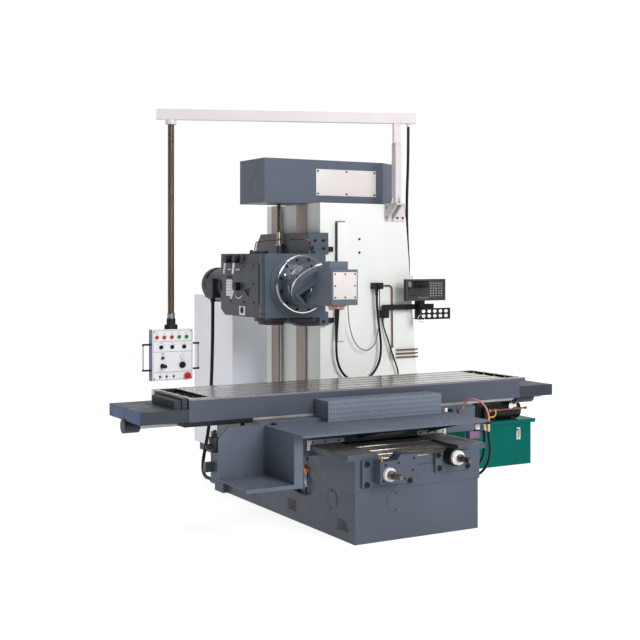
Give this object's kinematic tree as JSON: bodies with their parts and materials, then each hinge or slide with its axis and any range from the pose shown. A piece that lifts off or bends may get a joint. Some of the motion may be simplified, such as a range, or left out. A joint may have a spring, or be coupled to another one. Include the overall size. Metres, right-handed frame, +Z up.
{
  "type": "bed mill",
  "caption": "Bed milling machine: T-slot table on a cross saddle, column with a lifting head, two-axis swivel spindle carrier, hanging pendant, cabinet and oil tank.",
  "frame": {"origin": "on the floor, midway between the four foundation holes of the bed", "axes": "+X to the operator's right along the table, +Y to the rear, +Z up"},
  "size_m": [3.183, 3.256, 2.31],
  "materials": {
    "grey_paint": "satin",
    "white_paint": "satin",
    "cabinet_paint": "satin",
    "green_paint": "gloss",
    "black_paint": "satin",
    "tread_plate": "worn",
    "machined_iron": "machined",
    "raw_iron": "as cast",
    "steel": "bright",
    "bright_steel": "polished",
    "hose_rubber": "matt",
    "copper_pipe": "satin",
    "red_plastic": "gloss",
    "green_plastic": "gloss",
    "white_plastic": "gloss",
    "black_plastic": "matt",
    "display_case": "matt"
  },
  "bodies": {
    "base": {"bed": "grey_paint", "way_cover": "steel", "feed_cases": "grey_paint", "column": "white_paint", "top_cover": "grey_paint", "pole": "white_paint", "cabinet": "cabinet_paint", "oil_tank": "green_paint", "pump_unit": "black_paint", "oil_pipes": "copper_pipe", "readout_cable": "hose_rubber", "boom_cable": "hose_rubber"},
    "saddle": {"saddle": "grey_paint", "platform": "tread_plate", "feed_box": "tread_plate", "saddle_hoses": "hose_rubber"},
    "table": {"table": "machined_iron", "table_trays": "grey_paint"},
    "head": {"head_slide": "grey_paint", "gearbox": "grey_paint", "main_motor": "grey_paint", "head_cables": "hose_rubber", "lift_chain": "steel"},
    "boom": {"boom": "white_paint", "conduit": "steel"},
    "pendant": {"pendant_box": "white_paint"},
    "swivel": {"swivel": "grey_paint"},
    "carrier": {"carrier": "grey_paint"},
    "readout_arm": {"readout_arm": "grey_paint"},
    "cabinet_door": {"cabinet_door": "cabinet_paint"},
    "counterweight": {"counterweight": "raw_iron"},
    "x_screw": {"x_screw": "steel"},
    "y_screw": {"y_screw": "steel"},
    "z_screw": {"z_screw": "steel"},
    "motor_rotor": {"motor_rotor": "steel"},
    "front_chain_wheel": {"front_chain_wheel": "steel"},
    "rear_chain_wheel": {"rear_chain_wheel": "steel"},
    "spindle": {"spindle": "steel"},
    "cross_feed_shaft": {"cross_feed_shaft": "steel"},
    "lift_feed_shaft": {"lift_feed_shaft": "steel"},
    "speed_lever_rear": {"speed_lever_rear": "bright_steel"},
    "speed_lever_front": {"speed_lever_front": "bright_steel"},
    "range_lever": {"range_lever": "bright_steel"},
    "toggle_1": {"toggle_1": "bright_steel"},
    "toggle_2": {"toggle_2": "bright_steel"},
    "toggle_3": {"toggle_3": "bright_steel"},
    "red_button_1": {"red_button_1": "red_plastic"},
    "red_button_2": {"red_button_2": "red_plastic"},
    "red_button_3": {"red_button_3": "red_plastic"},
    "emergency_stop": {"emergency_stop": "red_plastic"},
    "green_button_1": {"green_button_1": "green_plastic"},
    "green_button_2": {"green_button_2": "green_plastic"},
    "white_button": {"white_button": "white_plastic"},
    "selector_1": {"selector_1": "black_plastic"},
    "selector_2": {"selector_2": "black_plastic"},
    "selector_3": {"selector_3": "black_plastic"},
    "fine_dial": {"fine_dial": "black_plastic"},
    "feed_knob": {"feed_knob": "black_plastic"},
    "joystick": {"joystick": "black_plastic"},
    "readout_display": {"readout_display": "display_case"}
  },
  "joints": [
    {"name": "saddle_slide", "type": "slide", "parent": "base", "child": "saddle", "axis": [0, 1, 0], "range_m": [-0.2, 0.3], "deforming": ["saddle_hoses"]},
    {"name": "table_slide", "type": "slide", "parent": "saddle", "child": "table", "axis": [1, 0, 0], "range_m": [-0.6, 0.6]},
    {"name": "head_lift", "type": "slide", "parent": "base", "child": "head", "axis": [0, 0, 1], "range_m": [-0.3, 0.15], "deforming": ["head_cables", "lift_chain"]},
    {"name": "head_swivel", "type": "hinge", "parent": "head", "child": "swivel", "pos_m": [-0.009, 0.584, 1.236], "axis": [0, 1, 0], "range_deg": [-90, 90]},
    {"name": "carrier_swivel", "type": "hinge", "parent": "swivel", "child": "carrier", "pos_m": [-0.009, 0.361, 1.236], "axis": [0, -0.7071, -0.7071], "range_deg": [0, 180]},
    {"name": "motor_spin", "type": "hinge", "parent": "head", "child": "motor_rotor", "pos_m": [-0.132, 1.35, 1.219], "axis": [0, 1, 0], "continuous": true},
    {"name": "spindle_spin", "type": "hinge", "parent": "carrier", "child": "spindle", "pos_m": [-0.009, 0.171, 1.2], "axis": [0, 0, 1], "continuous": true},
    {"name": "speed_lever_rear_turn", "type": "hinge", "parent": "head", "child": "speed_lever_rear", "pos_m": [-0.246, 1.057, 1.386], "axis": [1, 0, 0], "range_deg": [-30, 30]},
    {"name": "speed_lever_front_turn", "type": "hinge", "parent": "head", "child": "speed_lever_front", "pos_m": [-0.246, 0.934, 1.386], "axis": [1, 0, 0], "range_deg": [-30, 30]},
    {"name": "range_lever_turn", "type": "hinge", "parent": "head", "child": "range_lever", "pos_m": [-0.246, 0.925, 1.22], "axis": [1, 0, 0], "range_deg": [-30, 30]},
    {"name": "boom_swivel", "type": "hinge", "parent": "base", "child": "boom", "pos_m": [0.775, 0.748, 2.121], "axis": [0, 0, 1], "range_deg": [-25, 15], "deforming": ["boom_cable"]},
    {"name": "pendant_swivel", "type": "hinge", "parent": "boom", "child": "pendant", "pos_m": [-0.55197, 1.26243, 0.998], "axis": [0, 0, 1], "range_deg": [-90, 90]},
    {"name": "red_button_1_press", "type": "slide", "parent": "pendant", "child": "red_button_1", "axis": [0, 1, 0], "range_m": [0, 0.004], "stiffness_N_per_m": 800},
    {"name": "red_button_2_press", "type": "slide", "parent": "pendant", "child": "red_button_2", "axis": [0, 1, 0], "range_m": [0, 0.004], "stiffness_N_per_m": 800},
    {"name": "red_button_3_press", "type": "slide", "parent": "pendant", "child": "red_button_3", "axis": [0, 1, 0], "range_m": [0, 0.004], "stiffness_N_per_m": 800},
    {"name": "green_button_1_press", "type": "slide", "parent": "pendant", "child": "green_button_1", "axis": [0, 1, 0], "range_m": [0, 0.004], "stiffness_N_per_m": 800},
    {"name": "green_button_2_press", "type": "slide", "parent": "pendant", "child": "green_button_2", "axis": [0, 1, 0], "range_m": [0, 0.004], "stiffness_N_per_m": 800},
    {"name": "white_button_press", "type": "slide", "parent": "pendant", "child": "white_button", "axis": [0, 1, 0], "range_m": [0, 0.004], "stiffness_N_per_m": 800},
    {"name": "emergency_stop_press", "type": "slide", "parent": "pendant", "child": "emergency_stop", "axis": [0, 1, 0], "range_m": [0, 0.006], "stiffness_N_per_m": 1500},
    {"name": "selector_1_turn", "type": "hinge", "parent": "pendant", "child": "selector_1", "pos_m": [-0.62797, 1.23443, 0.8445], "axis": [0, 1, 0], "range_deg": [-45, 45]},
    {"name": "selector_2_turn", "type": "hinge", "parent": "pendant", "child": "selector_2", "pos_m": [-0.55597, 1.23443, 0.8445], "axis": [0, 1, 0], "range_deg": [-45, 45]},
    {"name": "selector_3_turn", "type": "hinge", "parent": "pendant", "child": "selector_3", "pos_m": [-0.47697, 1.23443, 0.8445], "axis": [0, 1, 0], "range_deg": [-45, 45]},
    {"name": "fine_dial_turn", "type": "hinge", "parent": "pendant", "child": "fine_dial", "pos_m": [-0.61797, 1.23443, 0.7785], "axis": [0, 1, 0], "range_deg": [-135, 135]},
    {"name": "feed_knob_turn", "type": "hinge", "parent": "pendant", "child": "feed_knob", "pos_m": [-0.48897, 1.23443, 0.7325], "axis": [0, 1, 0], "range_deg": [-135, 135]},
    {"name": "joystick_rock", "type": "hinge", "parent": "pendant", "child": "joystick", "pos_m": [-0.61897, 1.25043, 0.7295], "axis": [1, 0, 0], "range_deg": [-20, 20], "stiffness_Nm_per_rad": 2},
    {"name": "toggle_1_rock", "type": "hinge", "parent": "pendant", "child": "toggle_1", "pos_m": [-0.63497, 1.24243, 0.6635], "axis": [1, 0, 0], "range_deg": [-25, 25]},
    {"name": "toggle_2_rock", "type": "hinge", "parent": "pendant", "child": "toggle_2", "pos_m": [-0.59197, 1.24243, 0.6635], "axis": [1, 0, 0], "range_deg": [-25, 25]},
    {"name": "toggle_3_rock", "type": "hinge", "parent": "pendant", "child": "toggle_3", "pos_m": [-0.54497, 1.24243, 0.6635], "axis": [1, 0, 0], "range_deg": [-25, 25]},
    {"name": "x_screw_turn", "type": "hinge", "parent": "table", "child": "x_screw", "pos_m": [0, 0.039, 0.5612], "axis": [1, 0, 0], "continuous": true},
    {"name": "y_screw_turn", "type": "hinge", "parent": "base", "child": "y_screw", "pos_m": [-0.11, 0.1, 0.325], "axis": [0, 1, 0], "continuous": true},
    {"name": "z_screw_turn", "type": "hinge", "parent": "base", "child": "z_screw", "pos_m": [0.37, 1.154, 1], "axis": [0, 0, 1], "continuous": true},
    {"name": "cross_feed_turn", "type": "hinge", "parent": "base", "child": "cross_feed_shaft", "pos_m": [-0.232, -0.75, 0.346], "axis": [0, 1, 0], "continuous": true},
    {"name": "lift_feed_turn", "type": "hinge", "parent": "base", "child": "lift_feed_shaft", "pos_m": [0.18, -0.75, 0.391], "axis": [0, 1, 0], "continuous": true},
    {"name": "counterweight_drop", "type": "slide", "parent": "base", "child": "counterweight", "axis": [0, 0, 1], "range_m": [-0.15, 0.3]},
    {"name": "front_chain_wheel_turn", "type": "hinge", "parent": "base", "child": "front_chain_wheel", "pos_m": [0.207, 1.141, 1.815], "axis": [0, 1, 0], "continuous": true},
    {"name": "rear_chain_wheel_turn", "type": "hinge", "parent": "base", "child": "rear_chain_wheel", "pos_m": [0.53, 1.141, 1.815], "axis": [0, 1, 0], "continuous": true},
    {"name": "readout_swing", "type": "hinge", "parent": "base", "child": "readout_arm", "pos_m": [0.712, 0.79, 1.06], "axis": [0, 0, 1], "range_deg": [-40, 5]},
    {"name": "readout_tilt", "type": "hinge", "parent": "readout_arm", "child": "readout_display", "pos_m": [0.965, 0.729, 1.165], "axis": [1, 0, 0], "range_deg": [-20, 0]},
    {"name": "cabinet_door_swing", "type": "hinge", "parent": "base", "child": "cabinet_door", "pos_m": [0.908, 2.418, 0.6], "axis": [0, 0, -1], "range_deg": [0, 110]}
  ],
  "couplings": [
    {"joint": "spindle_spin", "follows": "motor_spin", "ratio": 0.5},
    {"joint": "x_screw_turn", "follows": "table_slide", "rad_per_m": 628.32},
    {"joint": "y_screw_turn", "follows": "saddle_slide", "rad_per_m": 628.32},
    {"joint": "cross_feed_turn", "follows": "saddle_slide", "rad_per_m": 628.32},
    {"joint": "z_screw_turn", "follows": "head_lift", "rad_per_m": 628.32},
    {"joint": "lift_feed_turn", "follows": "head_lift", "rad_per_m": 628.32},
    {"joint": "counterweight_drop", "follows": "head_lift", "ratio": -1},
    {"joint": "front_chain_wheel_turn", "follows": "head_lift", "rad_per_m": 14.286},
    {"joint": "rear_chain_wheel_turn", "follows": "head_lift", "rad_per_m": 14.286}
  ]
}
